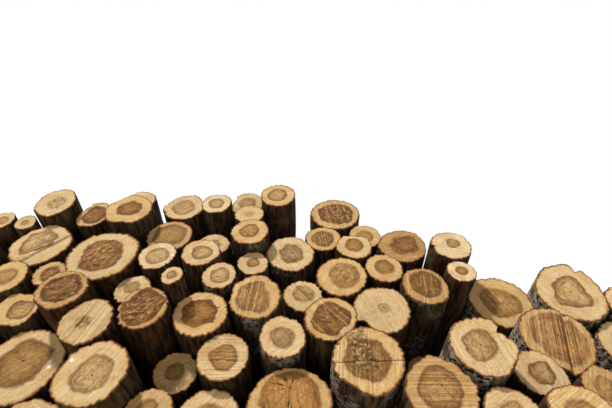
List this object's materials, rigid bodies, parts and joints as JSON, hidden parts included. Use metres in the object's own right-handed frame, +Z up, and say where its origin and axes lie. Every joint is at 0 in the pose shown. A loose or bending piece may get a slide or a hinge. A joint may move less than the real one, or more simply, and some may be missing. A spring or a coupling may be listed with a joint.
{
  "type": "heap of logs",
  "caption": "Heap of freshly felled hardwood logs, stacked lengthwise with their butts to one face, pale sawn ends and rough bark; raw timber for a yard, landing or mill.",
  "frame": {"origin": "on the ground, under the middle of the heap's box", "axes": "+X along the face of the heap, +Y along the logs from the butts to the top ends, +Z up"},
  "size_m": [6.1836, 3.1206, 2.5287],
  "materials": {
    "log_wood": "rough grey-brown bark on the sides, matt pale sawn ends with darker heartwood"
  },
  "bodies": {
    "root": {"logs_course_01": "log_wood", "logs_course_02": "log_wood", "logs_course_03": "log_wood", "logs_course_04": "log_wood", "logs_course_05": "log_wood", "logs_course_06": "log_wood", "logs_course_07": "log_wood", "logs_course_08": "log_wood", "logs_course_09": "log_wood", "logs_course_10": "log_wood", "logs_course_11": "log_wood", "logs_course_12": "log_wood"}
  },
  "joints": []
}
